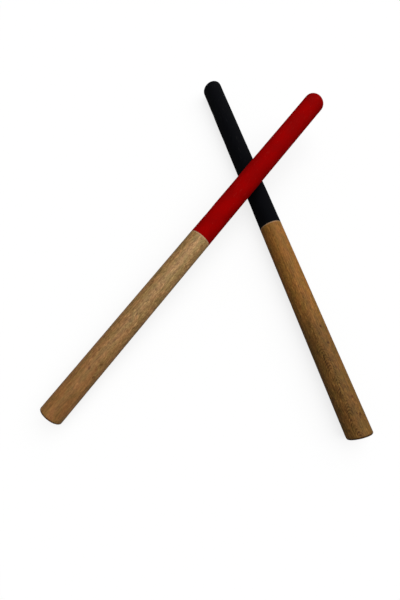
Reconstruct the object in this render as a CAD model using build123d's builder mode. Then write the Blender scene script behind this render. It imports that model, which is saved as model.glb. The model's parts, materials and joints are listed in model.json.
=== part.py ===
from build123d import *
from math import asin, cos, hypot, radians, sin, sqrt, tan
import os

# A pair of focus training sticks, lying crossed as they are put down between rounds: the black
# one flat on the floor, and the red one leaning over it with its butt on the floor. Both are the
# same turned beech stick, bare for one half and padded under a rubber cover for the other.
# Millimetres, +Z up, the floor at z = 0, and the origin under the middle of the pair.

# One stick
stick_length = 600.0  # from the flat butt to the end of the rounded tip
stick_diameter = 32.0  # the bare handle, and the cover flush with it
cover_length = 300.0  # the covered half, from the end of the handle to the tip
cover_wall = 1.0
cover_rounding = 0.4  # outer edge of the cover's open end
dome_height = 9.0  # how far the rounded tip stands past the straight part of the cover
core_diameter = 20.0  # the wood inside the padding
core_chamfer = 1.5
tip_padding = 25.0  # foam and rubber from the end of the core to the end of the tip
butt_rounding = 2.4
shoulder_chamfer = 0.4  # edge of the handle where the cover begins

# The way they lie: headings in plan, from +X to the way that each tip points, and the distance
# along each stick from its butt to where their centre lines cross in plan
black_heading = radians(105.4)
red_heading = radians(50.8)
black_crossing = 378.5
red_crossing = 437.0
crossing_gap = 0.3  # between the two covers where the red stick passes over the black one

stick_radius = stick_diameter / 2
core_radius = core_diameter / 2
padding_radius = stick_radius - cover_wall
handle_length = stick_length - cover_length
core_end = stick_length - tip_padding
dome_start = stick_length - dome_height

UP = Vector(0, 0, 1)
SETTLING_STEPS = 20


def direction(heading, lean=0.0):
    """The way a stick's tip points, for a heading in plan and a lean above the floor."""
    return Vector(cos(lean) * cos(heading), cos(lean) * sin(heading), sin(lean))


def resting_butt_height(lean):
    """Height of the butt's centre when the butt's rounded edge rests on the floor."""
    return (stick_radius - butt_rounding) * cos(lean) + butt_rounding * (1 - sin(lean))


def red_lean():
    """The red stick's lean: its butt on the floor, its cover just above the black cover."""
    lean = 0.0
    for _ in range(SETTLING_STEPS):
        skew = tan(lean) / sin(red_heading - black_heading)
        axis_rise = (stick_diameter + crossing_gap) * hypot(1, skew)
        lean = asin((stick_radius + axis_rise - resting_butt_height(lean)) / red_crossing)
    return lean


def reach(butt, axis, way):
    """How far a stick reaches along a unit direction: its domed tip or the round edge of its butt."""
    along = axis.dot(way)
    across = sqrt(max(0.0, 1 - along**2))
    tip = (butt + axis * dome_start).dot(way) + hypot(dome_height * along, stick_radius * across)
    edge = (butt + axis * butt_rounding).dot(way) + (stick_radius - butt_rounding) * across
    return max(tip, edge + butt_rounding)


def centring_shift(sticks, way):
    """The move along one way that brings the middle of the pair over the origin."""
    ahead = max(reach(butt, axis, way) for butt, axis in sticks)
    behind = max(reach(butt, axis, -way) for butt, axis in sticks)
    return way * ((behind - ahead) / 2)


def stick_planes():
    """A plane for each stick: origin in the butt, x along the stick, y across it and upwards."""
    lean = red_lean()
    black_axis = direction(black_heading)
    red_axis = direction(red_heading, lean)
    black_butt = UP * stick_radius - black_axis * black_crossing
    red_foot = direction(red_heading) * (red_crossing * cos(lean))
    red_butt = UP * resting_butt_height(lean) - red_foot
    sticks = [(black_butt, black_axis), (red_butt, red_axis)]
    shift = centring_shift(sticks, Vector(1, 0, 0)) + centring_shift(sticks, Vector(0, 1, 0))
    return [Plane(butt + shift, x_dir=axis, z_dir=axis.cross(UP)) for butt, axis in sticks]


def long_axis(plane):
    return Axis(plane.origin, plane.x_dir)


def turned_shaft(plane):
    """One piece of beech: the full-size handle, then a thinner core that runs inside the padding."""
    axis = long_axis(plane)
    with BuildPart() as shaft:
        with BuildSketch(plane):
            with BuildLine():
                Polyline(
                    (0, 0),
                    (0, stick_radius),
                    (handle_length, stick_radius),
                    (handle_length, core_radius),
                    (core_end, core_radius),
                    (core_end, 0),
                    close=True,
                )
            make_face()
        revolve(axis=axis)
        fillet(shaft.edges().filter_by(GeomType.CIRCLE).sort_by(axis)[0], butt_rounding)
        chamfer(shaft.edges().filter_by(GeomType.CIRCLE).sort_by(axis)[-1], core_chamfer)
        handle_circles = shaft.edges().filter_by(GeomType.CIRCLE).group_by(SortBy.RADIUS)[-1]
        chamfer(handle_circles.sort_by(axis)[-1], shoulder_chamfer)
    return shaft


def foam_sleeve(plane):
    """Foam tube slid onto the core, from the handle's shoulder to the end of the core."""
    shoulder = Plane(plane.origin + plane.x_dir * handle_length, z_dir=plane.x_dir)
    with BuildPart() as sleeve:
        with BuildSketch(shoulder):
            Circle(padding_radius)
            Circle(core_radius, mode=Mode.SUBTRACT)
        extrude(amount=core_end - handle_length)
    return sleeve


def tip_plug(plane):
    """Solid foam end that keeps the end of the core away from the tip."""
    with BuildPart() as plug:
        with BuildSketch(plane):
            with BuildLine():
                Polyline(
                    (stick_length - cover_wall, 0),
                    (core_end, 0),
                    (core_end, padding_radius),
                    (dome_start, padding_radius),
                )
                inner_dome()
            make_face()
        revolve(axis=long_axis(plane))
    return plug


def inner_dome():
    """Quarter ellipse of the padding's rounded end, a cover's wall inside the outer one."""
    EllipticalCenterArc((dome_start, 0), dome_height - cover_wall, padding_radius, arc_size=90)


def rubber_cover(plane):
    """Rubber skin over the padding, closed and rounded at the tip and flush with the handle."""
    axis = long_axis(plane)
    with BuildPart() as cover:
        with BuildSketch(plane):
            with BuildLine():
                EllipticalCenterArc((dome_start, 0), dome_height, stick_radius, arc_size=90)
                Polyline(
                    (dome_start, stick_radius),
                    (handle_length, stick_radius),
                    (handle_length, padding_radius),
                    (dome_start, padding_radius),
                )
                inner_dome()
                Line((stick_length - cover_wall, 0), (stick_length, 0))
            make_face()
        revolve(axis=axis)
        open_end = cover.edges().filter_by(GeomType.CIRCLE).group_by(axis)[0]
        fillet(open_end.sort_by(SortBy.RADIUS)[-1], cover_rounding)
    return cover


PIECES = {
    "shaft": turned_shaft,
    "foam_sleeve": foam_sleeve,
    "tip_plug": tip_plug,
    "cover": rubber_cover,
}

os.makedirs("parts", exist_ok=True)
for colour, plane in zip(("black", "red"), stick_planes()):
    for name, make in PIECES.items():
        piece = make(plane)
        piece.part.label = f"{colour}_{name}"
        export_step(piece.part, f"parts/{piece.part.label}.step")
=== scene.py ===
import json
import math
import random

import bmesh
import bpy
from bpy.props import FloatProperty, FloatVectorProperty, IntProperty, PointerProperty
from mathutils import Matrix, Vector, noise


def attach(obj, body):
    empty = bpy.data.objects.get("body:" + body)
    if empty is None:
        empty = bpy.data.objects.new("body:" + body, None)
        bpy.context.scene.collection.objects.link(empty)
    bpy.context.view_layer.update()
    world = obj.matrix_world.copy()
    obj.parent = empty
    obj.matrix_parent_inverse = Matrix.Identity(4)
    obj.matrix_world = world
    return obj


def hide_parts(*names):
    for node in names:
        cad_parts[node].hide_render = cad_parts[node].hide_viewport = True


bl_info = {
    "name": "Focus Training Sticks",
    "version": (1, 0, 0),
    "blender": (4, 5, 0),
    "location": "3D View > Sidebar > Sticks",
    "description": "A crossed pair of beech training sticks with padded, rubber-covered halves",
    "category": "Object",
}

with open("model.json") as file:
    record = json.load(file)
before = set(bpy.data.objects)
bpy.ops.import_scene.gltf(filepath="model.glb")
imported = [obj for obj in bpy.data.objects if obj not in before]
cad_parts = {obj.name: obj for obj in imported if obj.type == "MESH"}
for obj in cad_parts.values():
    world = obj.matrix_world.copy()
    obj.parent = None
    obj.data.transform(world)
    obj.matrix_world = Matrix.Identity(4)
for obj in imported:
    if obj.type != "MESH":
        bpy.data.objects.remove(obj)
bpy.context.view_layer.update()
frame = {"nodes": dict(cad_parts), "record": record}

# Lengths are metres. Each stick is made along its own x axis, from the middle of its butt at x = 0
# to the end of its tip, and its matrix lays it in the row frame.

SAME_PLACE = 1e-7
SAME_RADIUS = 1e-5


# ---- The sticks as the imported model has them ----


class Stick:
    """Where one stick lies and how large it is, read from its packed mounts and nodes."""

    def __init__(self, colour):
        mounts = {mount["name"]: mount for mount in frame["record"]["mounts"]}
        self.colour = colour
        self.body = f"{colour}_stick"
        self.butt = Vector(mounts[f"{colour}_butt"]["pos_m"])
        self.axis = -Vector(mounts[f"{colour}_butt"]["axis"]).normalized()
        self.radius = mounts[f"{colour}_handle"]["dims"]["r_mm"] / 1000
        cover = self.outline("cover")
        sleeve = self.outline("foam_sleeve")
        self.handle_length = min(x for x, r in cover)
        self.length = max(x for x, r in cover)
        self.dome_start = max(x for x, r in cover if r > self.radius - SAME_RADIUS)
        self.core_end = max(x for x, r in sleeve)
        self.core_radius = min(r for x, r in sleeve)
        self.padding_radius = max(r for x, r in sleeve)

    def node(self, piece):
        return f"{self.colour}_{piece}"

    def outline(self, piece):
        """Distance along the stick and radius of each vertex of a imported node."""
        found = []
        for vertex in frame["nodes"][self.node(piece)].data.vertices:
            along = (vertex.co - self.butt).dot(self.axis)
            found.append((along, (vertex.co - self.butt - self.axis * along).length))
        return found

    def matrix(self):
        """The stick's own axes in the row frame: x along it, y to its left, z upwards."""
        left = Vector((0, 0, 1)).cross(self.axis).normalized()
        turn = Matrix((self.axis, left, self.axis.cross(left))).transposed().to_4x4()
        return Matrix.Translation(self.butt) @ turn


STICKS = [Stick("black"), Stick("red")]
DOME = STICKS[0].length - STICKS[0].dome_start
WALL = STICKS[0].radius - STICKS[0].padding_radius


# ---- What a user would change ----


def size(name, description, default):
    return FloatProperty(name=name, description=description, default=default, min=0, unit="LENGTH")


def paint(name, description, default):
    return FloatVectorProperty(
        name=name, description=description, default=default, size=3, min=0, max=1, subtype="COLOR"
    )


class StickShape(bpy.types.PropertyGroup):
    butt_rounding: size("Butt rounding", "Radius of the handle's lower edge", 0.0024)
    easing_length: size("Easing length", "Eased edge of the wood at the cover", 0.0009)
    easing_depth: size("Easing depth", "How far that edge drops", 0.00035)
    core_chamfer: size("Core chamfer", "Bevel on the end of the hidden core", 0.0015)
    cover_wall: size("Cover wall", "Thickness of the rubber", WALL)
    lip_rounding: size("Lip rounding", "Outer edge of the cover's open end", 0.0004)
    dome_height: size("Dome height", "Length of the rounded tip", DOME)
    sanding: size("Sanding", "How far the sanded wood dips below a true cylinder", 0.00010)
    softness: size("Softness", "How far the padded half dips below a true cylinder", 0.00018)
    wood_knocks: size("Wood knocks", "Depth of the deepest knock in the wood", 0.00022)
    pad_knocks: size("Pad knocks", "Depth of the deepest hollow in the padding", 0.00035)
    ring_step: size("Ring step", "Distance between the rings of vertices", 0.0018)
    hidden_step: size("Hidden step", "The same where nothing shows", 0.0080)
    facets: IntProperty(name="Facets", description="Vertices round a stick", default=96, min=24)


class StickFinish(bpy.types.PropertyGroup):
    black_beech: paint("Black stick's beech", "Clean wood beside the cover", (0.284, 0.129, 0.0268))
    red_beech: paint("Red stick's beech", "Clean wood beside the cover", (0.378, 0.236, 0.100))
    black_patina: paint("Black stick's patina", "Tint of the wood at the butt", (0.68, 0.755, 0.86))
    red_patina: paint("Red stick's patina", "Tint of the wood at the butt", (0.68, 0.52, 0.37))
    black_rubber: paint("Black rubber", "Colour of the black cover", (0.0026, 0.0028, 0.0039))
    red_rubber: paint("Red rubber", "Colour of the red cover", (0.270, 0.0003, 0.0003))
    foam: paint("Foam", "Colour of the padding", (0.050, 0.050, 0.055))


class StickStage(bpy.types.PropertyGroup):
    glow: FloatProperty(
        name="Glow",
        description="Share of the floor's paleness that is its own light, as on a light table",
        default=0.80,
        subtype="FACTOR",
    )
    floor: paint("Floor", "Pale floor under the sticks", (1.0, 1.0, 1.0))
    bounce: paint("Bounce", "The floor's colour as it lights the sticks from below", (0.24, 0.24, 0.24))
    key_strength: FloatProperty(
        name="Key strength", description="Strength of the broad light overhead", default=2.65, min=0
    )
    key_from: FloatVectorProperty(
        name="Key from",
        description="Direction that the broad light comes from",
        default=(0.43, 0.28, 1.0),
        subtype="DIRECTION",
    )
    key_spread: FloatProperty(
        name="Key spread",
        description="How wide the broad light looks from the sticks",
        default=math.radians(82),
        subtype="ANGLE",
    )
    fill_strength: FloatProperty(
        name="Fill strength", description="Strength of the light from all round", default=0.265, min=0
    )
    eye: FloatVectorProperty(
        name="Eye",
        description="Where the camera stands",
        default=(-0.0141, -0.2522, 0.4470),
        subtype="TRANSLATION",
    )
    tilt: FloatProperty(
        name="Tilt",
        description="How far the camera looks down from level",
        default=math.radians(70.15),
        subtype="ANGLE",
    )
    roll: FloatProperty(
        name="Roll",
        description="Turn of the camera about its line of sight",
        default=math.radians(-0.81),
        subtype="ANGLE",
    )
    lens: FloatProperty(name="Lens", description="Focal length", default=19.65, unit="CAMERA")
    shift: FloatVectorProperty(
        name="Shift", description="Sideways and upward framing", default=(0.0148, -0.0180), size=2
    )


# ---- Turned meshes ----


def straight(start, end, step):
    """Points of a straight stretch of a profile at about even steps, with both of its ends."""
    count = max(1, round(math.dist(start, end) / step))
    return [tuple(a + (b - a) * i / count for a, b in zip(start, end)) for i in range(count + 1)]


def rounded(centre, radii, start, end, steps):
    """Points of an elliptical arc of a profile; the angles are in degrees from the stick's axis."""
    points = []
    for step in range(steps + 1):
        angle = math.radians(start + (end - start) * step / steps)
        points.append((centre[0] + radii[0] * math.cos(angle), centre[1] + radii[1] * math.sin(angle)))
    return points


def joined(*stretches):
    """One profile from stretches that start where the last one ended."""
    points = []
    for stretch in stretches:
        for point in stretch:
            if not points or math.dist(point, points[-1]) > SAME_PLACE:
                points.append(point)
    return points


def turned(name, profile, facets, dip=None, ring=False):
    """A closed mesh made by turning a profile of (x, radius) points about the x axis.

    The profile runs towards the tip along the outside. dip(x, radius, angle) is how far the
    surface lies below it. A ring's last point joins its first.
    """
    mesh = bmesh.new()
    uv_map = mesh.loops.layers.uv.new("turned")
    circles = []
    travelled = 0
    for index, (x, radius) in enumerate(profile):
        travelled += math.dist((x, radius), profile[index - 1]) if index else 0
        circles.append((circle_of_vertices(mesh, x, radius, facets, dip), travelled))
    if ring:
        circles.append((circles[0][0], travelled + math.dist(profile[-1], profile[0])))
    whole = circles[-1][1]
    for (near, near_at), (far, far_at) in zip(circles, circles[1:]):
        if len(near) == len(far) == 1:
            continue
        for facet in range(facets):
            corners = [(near, 0, near_at), (near, 1, near_at), (far, 1, far_at), (far, 0, far_at)]
            corners = [c for c in corners if len(c[0]) > 1 or c[1] == 0]
            face = mesh.faces.new([c[(facet + side) % facets % len(c)] for c, side, _ in corners])
            face.smooth = True
            for loop, (circle, side, at) in zip(face.loops, corners):
                around = facet + (side if len(circle) > 1 else 0.5)
                loop[uv_map].uv = (around / facets, at / whole)
    data = bpy.data.meshes.new(name)
    mesh.to_mesh(data)
    mesh.free()
    return data


def circle_of_vertices(mesh, x, radius, facets, dip):
    """One ring of vertices, or a single one where the profile meets the axis."""
    if radius < SAME_PLACE:
        return [mesh.verts.new((x, 0, 0))]
    circle = []
    for facet in range(facets):
        angle = math.tau * facet / facets
        r = radius - (dip(x, radius, angle) if dip else 0)
        circle.append(mesh.verts.new((x, r * math.cos(angle), r * math.sin(angle))))
    return circle


def smooth(value):
    """An even ease from 0 to 1."""
    value = min(1, max(0, value))
    return value * value * (3 - 2 * value)


def knocks(draw, count, start, end, widths, depth):
    """Seeded knocks: where each is along and round the stick, its width and its depth."""
    found = []
    for _ in range(count):
        along = draw.uniform(start, end)
        angle = draw.uniform(0, math.tau)
        found.append((along, angle, draw.uniform(*widths), depth * draw.uniform(0.3, 1)))
    return found


def uneven(draw, radius, depth, wave, marks, thinnest, fade_in, fade_out):
    """A dip for turned(): slow waves and knocks that ease off at both ends of the surface.

    wave is the length of the waves along and across the stick. Nothing changes where the profile
    is narrower than thinnest. fade_in and fade_out are each a place and the length of the ease.
    """
    offset = Vector([draw.uniform(-40, 40) for _ in range(3)])

    def dip(x, at_radius, angle):
        if at_radius < thinnest:
            return 0
        ease = smooth((x - fade_in[0]) / fade_in[1]) * smooth((fade_out[0] - x) / fade_out[1])
        across = radius / wave[1]
        place = Vector((x / wave[0], across * math.cos(angle), across * math.sin(angle)))
        down = depth * (0.5 + 0.5 * noise.noise(place + offset))
        for along, round_at, width, deep in marks:
            turn = (angle - round_at + math.pi) % math.tau - math.pi
            far = math.hypot(x - along, radius * turn) / width
            down += deep * math.exp(-far * far)
        return down * ease

    return dip


# ---- Nodes ----


def put(tree, kind, inputs, **settings):
    """A node with its settings, whose inputs are linked from sockets or set to values."""
    node = tree.nodes.new(kind)
    for name, value in settings.items():
        setattr(node, name, value)
    for key, value in inputs.items():
        if isinstance(value, bpy.types.NodeSocket):
            tree.links.new(value, node.inputs[key])
        else:
            node.inputs[key].default_value = value
    return node


def maths(tree, operation, *values):
    return put(tree, "ShaderNodeMath", dict(enumerate(values)), operation=operation).outputs[0]


def vectors(tree, operation, *values):
    return put(tree, "ShaderNodeVectorMath", dict(enumerate(values)), operation=operation).outputs[0]


def product(tree, first, *others):
    """Masks multiplied together."""
    for other in others:
        first = maths(tree, "MULTIPLY", first, other)
    return first


def weighted(tree, *parts):
    """The sum of values, each times its weight."""
    (value, weight), *others = parts
    total = maths(tree, "MULTIPLY", value, weight)
    for value, weight in others:
        total = maths(tree, "MULTIPLY_ADD", value, weight, total)
    return total


def between(tree, value, low, high, bottom=0.0, top=1.0):
    """value from low to high, eased into bottom to top and held there beyond."""
    inputs = {"Value": value, 1: low, 2: high, 3: bottom, 4: top}
    return put(tree, "ShaderNodeMapRange", inputs, interpolation_type="SMOOTHSTEP").outputs[0]


def off_axis(tree, place):
    """How far a place is from the x axis."""
    flat = vectors(tree, "MULTIPLY", place, (0.0, 1.0, 1.0))
    return put(tree, "ShaderNodeVectorMath", {0: flat}, operation="LENGTH").outputs["Value"]


def speckle(tree, place, scale, detail=2.0, roughness=0.5):
    """Noise from 0 to 1, with its size along and across the stick given in metres."""
    fine = vectors(tree, "MULTIPLY", place, (1 / scale[0], 1 / scale[1], 1 / scale[1]))
    inputs = {"Vector": fine, "Scale": 1.0, "Detail": detail, "Roughness": roughness}
    return put(tree, "ShaderNodeTexNoise", inputs).outputs[0]


def swayed(tree, place, waves, detail, reach):
    """A place moved sideways by smooth noise; waves is how many to a metre along and across."""
    fine = vectors(tree, "MULTIPLY", place, (waves[0], waves[1], waves[1]))
    sway = put(tree, "ShaderNodeTexNoise", {"Vector": fine, "Scale": 1.0, "Detail": detail})
    sway = vectors(tree, "SUBTRACT", sway.outputs["Color"], (0.5, 0.5, 0.5))
    return vectors(tree, "ADD", place, vectors(tree, "MULTIPLY", sway, (0.0, reach, reach)))


def dots(tree, place, cell, edge, share):
    """Small marks, one in some of the cells of a stretched grid: 1 on them and 0 elsewhere.

    cell is a cell's length and width, edge how far a mark reaches in cells, and share how many
    of the cells have one.
    """
    fine = vectors(tree, "MULTIPLY", place, (1 / cell[0], 1 / cell[1], 1 / cell[1]))
    cells = put(tree, "ShaderNodeTexVoronoi", {"Vector": fine, "Scale": 1.0, "Randomness": 1.0})
    shape = between(tree, cells.outputs["Distance"], edge, edge * 0.65)
    kept = between(tree, cells.outputs["Color"], 1 - share, 1 - share + 0.05)
    return product(tree, shape, kept)


def blended(tree, share, first, second, how="MIX"):
    """Two colours mixed; the second lies on the first by its share."""
    inputs = {0: share, 6: opaque(first), 7: opaque(second)}
    return put(tree, "ShaderNodeMix", inputs, data_type="RGBA", blend_type=how).outputs[2]


def opaque(value):
    return value if isinstance(value, bpy.types.NodeSocket) else (*value[:3], 1)


def stained(tree, colour, share, stain):
    """A colour multiplied by a stain, by the stain's share."""
    return blended(tree, share, colour, stain, "MULTIPLY")


def toned(tree, colour, mask, tones):
    """A colour multiplied by a tone that runs from the first of two to the second with a mask."""
    return stained(tree, colour, 1.0, blended(tree, mask, *tones))


def group(name, inputs, outputs):
    """An empty node group with its named sockets, and its input and output nodes' sockets."""
    tree = bpy.data.node_groups.new(name, "ShaderNodeTree")
    for label, kind in inputs.items():
        tree.interface.new_socket(label, in_out="INPUT", socket_type=kind)
    for label in outputs:
        tree.interface.new_socket(label, in_out="OUTPUT", socket_type="NodeSocketFloat")
    return tree, tree.nodes.new("NodeGroupInput").outputs, tree.nodes.new("NodeGroupOutput").inputs


# ---- Wood figure ----


RING_WIDTH = 0.0027  # one year's growth
ARC_PITCH = 0.0036  # from one nested arc to the next
ARC_LINE = 0.0105  # how far to the left of the stick's top the arcs nest
ARC_BOW = 260.0  # how far an arc bends along the stick, for the square of its half width

TRUNK_SWAY = {"waves": (9.0, 9.0), "detail": 2.0, "reach": 0.007}
GRAIN_SWAY = {"waves": (75.0, 55.0), "detail": 1.0, "reach": 0.0042}


def growth_rings(tree, place, pith):
    """Late wood, which darkens through a year and ends sharply, and the same as years differ."""
    from_pith = vectors(tree, "SUBTRACT", swayed(tree, place, **TRUNK_SWAY), pith)
    years = maths(tree, "DIVIDE", off_axis(tree, from_pith), RING_WIDTH)
    through = maths(tree, "FRACT", years)
    late_wood = product(tree, between(tree, through, 0.15, 0.9), between(tree, through, 1.0, 0.92))
    number = {"W": maths(tree, "FLOOR", years)}
    year = put(tree, "ShaderNodeTexWhiteNoise", number, noise_dimensions="1D").outputs["Value"]
    each_year = maths(tree, "MULTIPLY_ADD", year, 0.45, -0.1)
    return late_wood, maths(tree, "ADD", late_wood, each_year)


def ray_flecks(tree, grain):
    """Short dark dashes in two sizes, denser in some bands than in others."""
    dense = between(tree, speckle(tree, grain, (0.05, 0.006), 1.0), 0.35, 0.65, 0.45, 1.0)
    small = dots(tree, grain, (0.0034, 0.0009), 0.40, 0.56)
    elsewhere = vectors(tree, "ADD", grain, (0.7, 0.2, 0.1))
    large = dots(tree, elsewhere, (0.0074, 0.0030), 0.44, 0.56)
    return product(tree, maths(tree, "MAXIMUM", small, large), dense)


def nested_arcs(tree, grain, curl):
    """Short broken curves that nest along one line, where the rings run out at the surface."""
    split = put(tree, "ShaderNodeSeparateXYZ", {0: grain}).outputs
    wobble = speckle(tree, grain, (0.020, 0.020), 1.0)
    across = weighted(tree, (wobble, 0.008), (maths(tree, "SUBTRACT", split["Y"], ARC_LINE), 1.0))
    ripple = speckle(tree, grain, (0.005, 0.003), 1.0)
    square = product(tree, across, across)
    climb = weighted(tree, (split["X"], 1.0), (square, ARC_BOW), (ripple, 0.0022))
    arcs = maths(tree, "PINGPONG", maths(tree, "DIVIDE", climb, ARC_PITCH), 0.5)
    arcs = between(tree, arcs, 0.18, 0.36)
    near = between(tree, maths(tree, "ABSOLUTE", across), 0.0070, 0.0015, 0.20, 1.0)
    broken = between(tree, speckle(tree, grain, (0.010, 0.004), 1.0), 0.38, 0.58)
    return product(tree, arcs, near, broken, curl)


def beech_figure():
    """Beech cut along its grain, as a mask for each feature and the height of the surface."""
    name = "Beech figure"
    if name in bpy.data.node_groups:
        return bpy.data.node_groups[name]
    inputs = {"Place": "NodeSocketVector", "Pith": "NodeSocketVector", "Curl": "NodeSocketFloat"}
    masks = ["Rings", "Streaks", "Lines", "Clouds", "Flecks", "Pale", "Arcs", "Spots", "Fibres"]
    tree, given, made = group(name, inputs, [*masks, "Pores", "Height"])

    # The rings bend with the trunk; all else follows a grain that waves from side to side
    late_wood, rings = growth_rings(tree, given["Place"], given["Pith"])
    grain = swayed(tree, given["Place"], **GRAIN_SWAY)
    tree.links.new(rings, made["Rings"])

    # Streaks has long, short and fine lines along the grain, and Lines only the long ones
    long = speckle(tree, grain, (0.040, 0.0016), 1.0)
    short = speckle(tree, grain, (0.0062, 0.0013), 2.0, 0.65)
    fine = speckle(tree, grain, (0.0030, 0.0005), 1.0)
    streaks = weighted(tree, (long, 0.25), (short, 0.45), (fine, 0.30))
    tree.links.new(between(tree, streaks, 0.37, 0.63), made["Streaks"])
    tree.links.new(between(tree, long, 0.30, 0.70, 0.30, 0.70), made["Lines"])
    clouds = speckle(tree, grain, (0.016, 0.007), 2.0)
    tree.links.new(between(tree, clouds, 0.34, 0.66), made["Clouds"])

    # Rays show as dark flecks and as pale ones; the round spots are small knots
    flecks = ray_flecks(tree, grain)
    elsewhere = vectors(tree, "ADD", grain, (0.4, 0.3, 0.6))
    tree.links.new(flecks, made["Flecks"])
    tree.links.new(dots(tree, elsewhere, (0.0066, 0.0028), 0.44, 0.52), made["Pale"])
    tree.links.new(nested_arcs(tree, grain, given["Curl"]), made["Arcs"])
    tree.links.new(dots(tree, grain, (0.013, 0.010), 0.19, 0.52), made["Spots"])

    # Fibres and pores are hair-fine, and show only from close to
    fibres = speckle(tree, grain, (0.0045, 0.00022), 2.0, 0.6)
    pores = dots(tree, grain, (0.0021, 0.00032), 0.42, 0.55)
    tree.links.new(between(tree, fibres, 0.30, 0.70), made["Fibres"])
    tree.links.new(pores, made["Pores"])

    # Dark rays and pores lie a little below the surface, and late wood above it
    height = weighted(tree, (fine, 1.0), (flecks, -0.6), (pores, -0.6), (late_wood, 0.3))
    tree.links.new(height, made["Height"])
    return tree


# ---- Rubber grain ----


def rubber_grain():
    """Thin dipped rubber over foam: a fine stipple, cloudy sheen, and worn or dusty patches."""
    name = "Rubber grain"
    if name in bpy.data.node_groups:
        return bpy.data.node_groups[name]
    masks = ["Clouds", "Stipple", "Rubbed", "Dust", "Height"]
    tree, given, made = group(name, {"Place": "NodeSocketVector"}, masks)
    place = given["Place"]
    clouds = speckle(tree, place, (0.030, 0.018), 3.0)
    stipple = speckle(tree, place, (0.0007, 0.0007), 2.0, 0.6)
    inputs = {"Vector": place, "Scale": 1300.0}
    pebbles = put(tree, "ShaderNodeTexVoronoi", inputs, feature="SMOOTH_F1").outputs["Distance"]
    scuffs = speckle(tree, place, (0.012, 0.0012), 3.0, 0.6)
    patches = between(tree, speckle(tree, place, (0.045, 0.020), 1.0), 0.45, 0.65)
    tree.links.new(between(tree, clouds, 0.30, 0.70), made["Clouds"])
    tree.links.new(stipple, made["Stipple"])
    tree.links.new(product(tree, between(tree, scuffs, 0.58, 0.72), patches), made["Rubbed"])
    tree.links.new(dots(tree, place, (0.0045, 0.0045), 0.16, 0.35), made["Dust"])
    tree.links.new(weighted(tree, (stipple, 1.0), (pebbles, 0.6)), made["Height"])
    return tree


# ---- Materials ----


# Tones multiply a colour, and the pairs run from the first to the second as their mask rises
CLOUDY_WOOD = (1.11, 1.005, 0.965), (0.90, 0.945, 0.825)
STREAKY_WOOD = (0.67, 0.64, 0.58), (1.28, 1.29, 1.32)
FIBROUS_WOOD = (0.90, 0.89, 0.87), (1.12, 1.13, 1.16)
CLOUDY_RUBBER = (0.90, 0.90, 0.90), (1.10, 1.10, 1.10)
STIPPLED_RUBBER = (0.80, 0.80, 0.80), (1.20, 1.20, 1.20)
FOAM_CELLS = (1.25, 1.25, 1.25), (0.70, 0.70, 0.70)
HEARTWOOD = (0.83, 0.77, 0.68)
LATE_WOOD = (0.74, 0.70, 0.64)
PALE_RAY = (1.36, 1.39, 1.47)
DARK_RAY = (0.46, 0.38, 0.31)
KNOT = (0.46, 0.30, 0.22)
# Painted shade for the butt's rounded rim:
BUTT_RIM_SHADE = (0.36, 0.32, 0.29)
END_GRAIN = (0.55, 0.50, 0.44)

FRESH_WOOD = (0.50, 0.36, 0.24)  # a colour, not a tone
STRIPE_EDGE = 0.005, 0.014  # where heartwood begins beside a pale stripe, and where it is full
RUBBER_GLOSS = 0.012
FOAM_GLOSS = 0.1
PITTED_FOAM = 0.4  # how much of the foam's colour is left in a cut cell

# How each shaft was cut and how it has worn. pith is where the trunk's middle lies beside the
# stick, and cut where along the trunk the stick starts. In held, curl and calm a feature is full
# at the first place along the stick and gone at the second: the hands' patina, the nested arcs,
# and figure that is softer by calmest. A pale stripe runs at stripe, measured to the left of the
# stick's top, and heart is how far the wood beside it turns to heartwood.
TIMBER = {
    "black": {
        "pith": (0.0, -0.045, 0.012),
        "cut": (0.0, 0.0, 0.0),
        "held": (0.15, 0.24),
        "curl": (0.14, 0.20),
        "curl_strength": 1.0,
        "calm": (0.30, 0.20),
        "calmest": 0.40,
        "stripe": 0.0,
        "heart": 0.0,
        "roughness": (0.45, 0.65),
        "gloss": 0.13,
    },
    "red": {
        "pith": (0.0, 0.021, -0.038),
        "cut": (0.31, 0.0, 0.0),
        "held": (0.02, 0.33),
        "curl": (0.02, 0.33),
        "curl_strength": 0.35,
        "calm": (0.05, 0.18),
        "calmest": 0.50,
        "stripe": -0.007,
        "heart": 1.0,
        "roughness": (0.36, 0.55),
        "gloss": 0.22,
    },
}

# How each rubber looks where it is worn, where it is dusty and as the painted highlight on its lip, and
# how much pale bloom it has
RUBBER = {
    "black": {"rubbed": (0.10, 0.095, 0.09), "bloom": 0.02},
    "red": {"rubbed": (0.46, 0.09, 0.07), "bloom": 0.0},
}


def material(name, roughness_range, specular, bump):
    """A material's nodes, its place socket, and a function that links its colour and surface.

    The roughness runs over its range as the dullness mask rises. bump is a strength and a height.
    """
    made = bpy.data.materials.new(name)
    made.use_nodes = True
    tree = made.node_tree
    shader = tree.nodes["Principled BSDF"]
    shader.inputs["Specular IOR Level"].default_value = specular
    place = tree.nodes.new("ShaderNodeTexCoord").outputs["Object"]

    def finish(colour, dullness, height):
        tree.links.new(colour, shader.inputs["Base Color"])
        low, high = roughness_range
        roughness = maths(tree, "MULTIPLY_ADD", dullness, high - low, low)
        tree.links.new(roughness, shader.inputs["Roughness"])
        inputs = {"Strength": bump[0], "Distance": bump[1], "Height": height}
        bumped = put(tree, "ShaderNodeBump", inputs).outputs["Normal"]
        tree.links.new(bumped, shader.inputs["Normal"])
        return made

    return tree, place, finish


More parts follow.
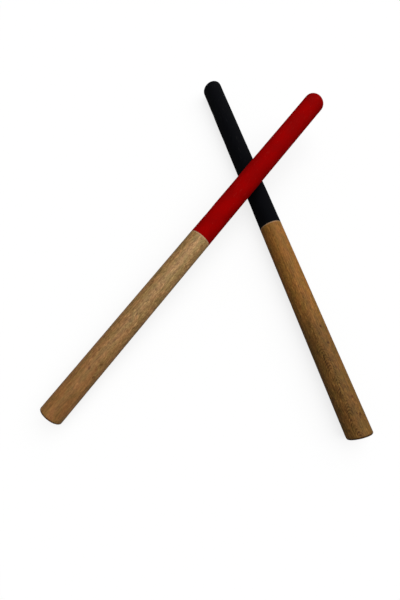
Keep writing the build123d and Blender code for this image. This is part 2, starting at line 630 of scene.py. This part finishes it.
def beech(stick, finish, wood):
    """Oiled beech: figured wood, with a patina towards the butt where hands hold it."""
    name = f"{stick.colour}_stick_beech"
    tree, place, done = material(name, wood["roughness"], wood["gloss"], (0.30, 0.00025))
    clean = getattr(finish, f"{stick.colour}_beech")
    patina = getattr(finish, f"{stick.colour}_patina")
    split = put(tree, "ShaderNodeSeparateXYZ", {0: place}).outputs
    along = split["X"]

    # Stretches of the stick, with wavering edges
    waver = weighted(tree, (along, 1.0), (speckle(tree, place, (0.05, 0.02)), 0.06))
    held = between(tree, waver, *wood["held"], 1.0, 0.0)
    curl = between(tree, waver, *wood["curl"], wood["curl_strength"], 0.0)
    calm = between(tree, waver, *wood["calm"], wood["calmest"], 0.0)
    crisp = maths(tree, "SUBTRACT", 1.0, calm)
    inputs = {"Place": vectors(tree, "ADD", place, wood["cut"]), "Pith": wood["pith"], "Curl": curl}
    figure = put(tree, "ShaderNodeGroup", inputs, node_tree=beech_figure()).outputs

    # The plain wood, then its broad figure and then its marks
    colour = blended(tree, held, clean, [c * p for c, p in zip(clean, patina)])
    side = maths(tree, "ABSOLUTE", maths(tree, "SUBTRACT", split["Y"], wood["stripe"]))
    heart = between(tree, side, *STRIPE_EDGE, 0.0, wood["heart"])
    heart = product(tree, heart, maths(tree, "SUBTRACT", 1.0, held))
    colour = stained(tree, colour, heart, HEARTWOOD)
    colour = toned(tree, colour, figure["Clouds"], CLOUDY_WOOD)
    colour = stained(tree, colour, product(tree, figure["Rings"], 0.55), LATE_WOOD)
    lines = product(tree, figure["Lines"], calm)
    streaks = maths(tree, "MULTIPLY_ADD", figure["Streaks"], crisp, lines)
    colour = toned(tree, colour, streaks, STREAKY_WOOD)
    colour = stained(tree, colour, product(tree, figure["Pale"], crisp, 0.9), PALE_RAY)
    colour = toned(tree, colour, figure["Fibres"], FIBROUS_WOOD)
    for mask, share in (("Flecks", 0.58), ("Arcs", 0.95), ("Pores", 0.42)):
        colour = stained(tree, colour, product(tree, figure[mask], crisp, share), DARK_RAY)
    colour = stained(tree, colour, product(tree, figure["Spots"], held, 0.85), KNOT)

    colour = edge_of_handle(tree, colour, along, stick)
    # Painted shade on the butt's rounded rim, then the end grain on its face
    colour = butt_rim_shade_and_end_grain(tree, colour, place, along, figure["Rings"], stick)
    return done(colour, streaks, figure["Height"])


def edge_of_handle(tree, colour, along, stick):
    """The eased edge at the cover shows fresh wood."""
    eased = bpy.context.scene.stick_shape.easing_length
    end = stick.handle_length
    fresh = between(tree, along, end - 1.9 * eased, end - 1.2 * eased, 0.0, 0.4)
    return blended(tree, fresh, colour, FRESH_WOOD)


def butt_rim_shade_and_end_grain(tree, colour, place, along, rings, stick):
    """The rim of the butt is painted darker as shade on its rounded edge, and its face shows the rings'
    end grain.
    """
    edge = bpy.context.scene.stick_shape.butt_rounding
    out = off_axis(tree, place)
    # Painted shade: the rounded rim of the butt is darkened
    outer = between(tree, out, stick.radius - 1.3 * edge, stick.radius - 0.6 * edge)
    rim = product(tree, outer, between(tree, along, 1.2 * edge, 0.6 * edge))
    colour = stained(tree, colour, rim, BUTT_RIM_SHADE)
    face = between(tree, along, 0.2 * edge, 0.05 * edge)
    return stained(tree, colour, product(tree, face, rings, 0.7), END_GRAIN)


def rubber(stick, finish, skin):
    """Matt dipped rubber, a little paler where it is worn, with a painted highlight that makes the
    lip's rounded edge paler.
    """
    name = f"{stick.colour}_rubber"
    tree, place, done = material(name, (0.62, 0.85), RUBBER_GLOSS, (0.30, 0.00012))
    tree.nodes["Principled BSDF"].inputs["Sheen Weight"].default_value = skin["bloom"]
    base = getattr(finish, name)
    grain = put(tree, "ShaderNodeGroup", {"Place": place}, node_tree=rubber_grain()).outputs
    along = put(tree, "ShaderNodeSeparateXYZ", {0: place}).outputs["X"]
    start, lip = stick.handle_length, bpy.context.scene.stick_shape.lip_rounding
    # Painted highlight: the lip's rounded edge is painted halfway to the paler colour
    cut = between(tree, along, start + 1.5 * lip, start + 0.5 * lip, 0.0, 0.5)
    colour = toned(tree, base, grain["Clouds"], CLOUDY_RUBBER)
    colour = toned(tree, colour, grain["Stipple"], STIPPLED_RUBBER)
    # Wear, dust and the lip's painted highlight all take the paler colour
    for share in (product(tree, grain["Rubbed"], 0.12), product(tree, grain["Dust"], 0.10), cut):
        colour = blended(tree, share, colour, skin["rubbed"])
    return done(colour, grain["Clouds"], grain["Height"])


def foam(finish):
    """Closed-cell foam: tiny round cells, the cut ones darker."""
    tree, place, done = material("foam", (0.85, 1.0), FOAM_GLOSS, (0.6, 0.0004))
    cells = put(tree, "ShaderNodeTexVoronoi", {"Vector": place, "Scale": 1400.0}).outputs["Distance"]
    pits = put(tree, "ShaderNodeTexVoronoi", {"Vector": place, "Scale": 420.0}).outputs["Distance"]
    pits = between(tree, pits, 0.10, 0.30)
    colour = blended(tree, pits, [c * PITTED_FOAM for c in finish.foam], finish.foam)
    colour = toned(tree, colour, cells, FOAM_CELLS)
    return done(colour, pits, maths(tree, "SUBTRACT", pits, cells))


# ---- Pieces ----


def lay(data, stick, node, finish):
    """Lays a finished mesh where its stick lies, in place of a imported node."""
    data.materials.append(finish)
    piece = bpy.data.objects.new(data.name, data)
    bpy.context.scene.collection.objects.link(piece)
    piece.matrix_world = stick.matrix()
    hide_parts(stick.node(node))
    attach(piece, stick.body)
    return piece


def shaft_profile(stick, shape):
    """From the middle of the butt, along the handle, over the shoulder and along the core."""
    radius, end = stick.radius, stick.handle_length
    edge, bevel = shape.butt_rounding, shape.core_chamfer
    eased = end - shape.easing_length
    dropped = radius - shape.easing_depth
    core, core_end = stick.core_radius, stick.core_end
    return joined(
        straight((0, 0), (0, radius - edge), shape.ring_step),
        rounded((edge, radius - edge), (edge, edge), 180, 90, 8),
        straight((edge, radius), (eased, radius), shape.ring_step),
        rounded((eased, dropped), (shape.easing_length, shape.easing_depth), 90, 0, 6),
        straight((end, dropped), (end, core), shape.ring_step),
        straight((end, core), (core_end - bevel, core), shape.hidden_step),
        [(core_end, core - bevel), (core_end, 0)],
    )


def cover_profile(stick, shape):
    """From the open end's face, along the outside and over the dome, then back along the inside."""
    start, dome = stick.handle_length, stick.dome_start
    lip, wall, height = shape.lip_rounding, shape.cover_wall, shape.dome_height
    outer, inner = stick.radius, stick.radius - shape.cover_wall
    return joined(
        [(start, inner), (start, outer - lip)],
        rounded((start + lip, outer - lip), (lip, lip), 180, 90, 6),
        straight((start + lip, outer), (dome, outer), shape.ring_step),
        rounded((dome, 0), (height, outer), 90, 0, 28),
        rounded((dome, 0), (height - wall, inner), 0, 90, 14),
        straight((dome, inner), (start + shape.hidden_step, inner), shape.hidden_step),
    )


def sleeve_profile(stick, shape):
    """A tube: from its bore at the shoulder, along the outside, and back along the bore."""
    start, end = stick.handle_length, stick.core_end
    bore, outer = stick.core_radius, stick.padding_radius
    return joined(
        straight((start, bore), (start, outer), shape.ring_step),
        straight((start, outer), (end, outer), shape.hidden_step),
        straight((end, outer), (end, bore), shape.ring_step),
        straight((end, bore), (start + shape.hidden_step, bore), shape.hidden_step),
    )


def plug_profile(stick, shape):
    """A solid end: from the middle of the core's end, out to the cover and over the dome."""
    start, dome, outer = stick.core_end, stick.dome_start, stick.padding_radius
    return joined(
        straight((start, 0), (start, outer), shape.ring_step),
        straight((start, outer), (dome, outer), shape.ring_step),
        rounded((dome, 0), (shape.dome_height - shape.cover_wall, outer), 90, 0, 14),
    )


def wood_dip(stick, shape):
    """The shaft's unevenness: sanding, knocks along the handle and deeper ones round the butt."""
    draw = random.Random(f"{stick.colour} shaft")
    reach = 0.9 * stick.handle_length
    marks = knocks(draw, 16, 0.004, reach, (0.0012, 0.0035), shape.wood_knocks)
    marks += knocks(draw, 7, 0.0, 0.003, (0.0012, 0.0028), 1.6 * shape.wood_knocks)
    return uneven(
        draw,
        stick.radius,
        shape.sanding,
        wave=(0.030, 0.012),
        marks=marks,
        thinnest=0.80 * stick.radius,
        fade_in=(-0.010, 0.010),
        fade_out=(stick.handle_length - shape.easing_length, 0.008),
    )


def padding_dip(stick, shape):
    """The padded half's unevenness, the same for the rubber and for the foam under it."""
    draw = random.Random(f"{stick.colour} padding")
    hollows = knocks(draw, 8, stick.handle_length, stick.dome_start, (0.006, 0.014), shape.pad_knocks)
    return uneven(
        draw,
        stick.radius,
        shape.softness,
        wave=(0.045, 0.014),
        marks=hollows,
        thinnest=0.99 * stick.padding_radius,
        fade_in=(stick.handle_length, 0.010),
        fade_out=(stick.dome_start, 0.020),
    )


class STICKS_OT_shafts(bpy.types.Operator):
    """Turn the two beech shafts"""

    bl_idname = "sticks.shafts"
    bl_label = "Turn the Shafts"

    def execute(self, context):
        shape, finish = context.scene.stick_shape, context.scene.stick_finish
        for stick in STICKS:
            data = turned(
                f"{stick.colour}_beech_shaft",
                shaft_profile(stick, shape),
                shape.facets,
                wood_dip(stick, shape),
            )
            wood = beech(stick, finish, TIMBER[stick.colour])
            lay(data, stick, "shaft", wood)
        return {"FINISHED"}


class STICKS_OT_padding(bpy.types.Operator):
    """Slide the foam onto the cores"""

    bl_idname = "sticks.padding"
    bl_label = "Fit the Padding"

    def execute(self, context):
        shape = context.scene.stick_shape
        finish = foam(context.scene.stick_finish)
        for stick in STICKS:
            dip = padding_dip(stick, shape)
            name = f"{stick.colour}_foam_tube"
            tube = turned(name, sleeve_profile(stick, shape), shape.facets, dip, ring=True)
            lay(tube, stick, "foam_sleeve", finish)
            name = f"{stick.colour}_foam_end"
            end = turned(name, plug_profile(stick, shape), shape.facets, dip)
            lay(end, stick, "tip_plug", finish)
        return {"FINISHED"}


class STICKS_OT_covers(bpy.types.Operator):
    """Pull the rubber covers over the foam"""

    bl_idname = "sticks.covers"
    bl_label = "Pull on the Covers"

    def execute(self, context):
        shape, finish = context.scene.stick_shape, context.scene.stick_finish
        for stick in STICKS:
            data = turned(
                f"{stick.colour}_rubber_cover",
                cover_profile(stick, shape),
                shape.facets,
                padding_dip(stick, shape),
                ring=True,
            )
            skin = rubber(stick, finish, RUBBER[stick.colour])
            lay(data, stick, "cover", skin)
        return {"FINISHED"}


# ---- Stage ----


def pale_floor(stage):
    """A wide pale floor that throws less light up than the camera sees on it."""
    made = bpy.data.materials.new("pale_floor")
    made.use_nodes = True
    tree = made.node_tree
    shader = tree.nodes["Principled BSDF"]
    shader.inputs["Specular IOR Level"].default_value = 0.0
    shader.inputs["Roughness"].default_value = 1.0
    seen = tree.nodes.new("ShaderNodeLightPath").outputs["Is Camera Ray"]
    lit = [(1 - stage.glow) * c for c in stage.floor]
    tree.links.new(blended(tree, seen, stage.bounce, lit), shader.inputs["Base Color"])
    shader.inputs["Emission Color"].default_value = (*stage.floor, 1)
    tree.links.new(product(tree, seen, stage.glow), shader.inputs["Emission Strength"])
    return made


HORIZON = 1.0  # as pale as the lit floor, so that no line shows where the two meet


def studio_world(stage):
    """Even light from all round, which the camera sees as pale as the floor."""
    world = bpy.data.worlds.new("studio")
    world.use_nodes = True
    tree = world.node_tree
    background = tree.nodes["Background"]
    seen = tree.nodes.new("ShaderNodeLightPath").outputs["Is Camera Ray"]
    strength = between(tree, seen, 0.0, 1.0, stage.fill_strength, HORIZON)
    tree.links.new(strength, background.inputs["Strength"])
    background.inputs["Color"].default_value = (1, 1, 1, 1)
    return world


class STICKS_OT_stage(bpy.types.Operator):
    """Lay the floor and set the lights and the camera"""

    bl_idname = "sticks.stage"
    bl_label = "Set the Stage"

    def execute(self, context):
        scene, stage = context.scene, context.scene.stick_stage
        scene.view_settings.view_transform = "Standard"
        scene.world = studio_world(stage)

        bpy.ops.mesh.primitive_plane_add(size=60)
        floor = context.object
        floor.name = "floor"
        floor.data.materials.append(pale_floor(stage))

        sun = bpy.data.lights.new("key", "SUN")
        sun.energy = stage.key_strength
        sun.angle = stage.key_spread
        key = bpy.data.objects.new("key", sun)
        key.rotation_euler = Vector(stage.key_from).to_track_quat("Z", "Y").to_euler()
        scene.collection.objects.link(key)

        lens = bpy.data.cameras.new("camera")
        lens.lens = stage.lens
        lens.shift_x, lens.shift_y = stage.shift
        camera = bpy.data.objects.new("camera", lens)
        tilt = Matrix.Rotation(math.pi / 2 - stage.tilt, 4, "X")
        roll = Matrix.Rotation(stage.roll, 4, "Z")
        camera.matrix_world = Matrix.Translation(stage.eye) @ tilt @ roll
        scene.collection.objects.link(camera)
        scene.camera = camera
        return {"FINISHED"}


class STICKS_PT_steps(bpy.types.Panel):
    """The steps that make the sticks, in order"""

    bl_idname = "STICKS_PT_steps"
    bl_label = "Focus Training Sticks"
    bl_space_type = "VIEW_3D"
    bl_region_type = "UI"
    bl_category = "Sticks"

    def draw(self, context):
        for step in STEPS:
            self.layout.operator(step.bl_idname)


STEPS = (STICKS_OT_shafts, STICKS_OT_padding, STICKS_OT_covers, STICKS_OT_stage)
SETTINGS = {"stick_shape": StickShape, "stick_finish": StickFinish, "stick_stage": StickStage}


def register():
    for made in (*SETTINGS.values(), *STEPS, STICKS_PT_steps):
        bpy.utils.register_class(made)
    for name, settings in SETTINGS.items():
        setattr(bpy.types.Scene, name, PointerProperty(type=settings))


def unregister():
    for name in SETTINGS:
        delattr(bpy.types.Scene, name)
    for made in (STICKS_PT_steps, *reversed(STEPS), *SETTINGS.values()):
        bpy.utils.unregister_class(made)


def main():
    register()
    bpy.ops.sticks.shafts()
    bpy.ops.sticks.padding()
    bpy.ops.sticks.covers()
    bpy.ops.sticks.stage()


if __name__ == "__main__":
    main()
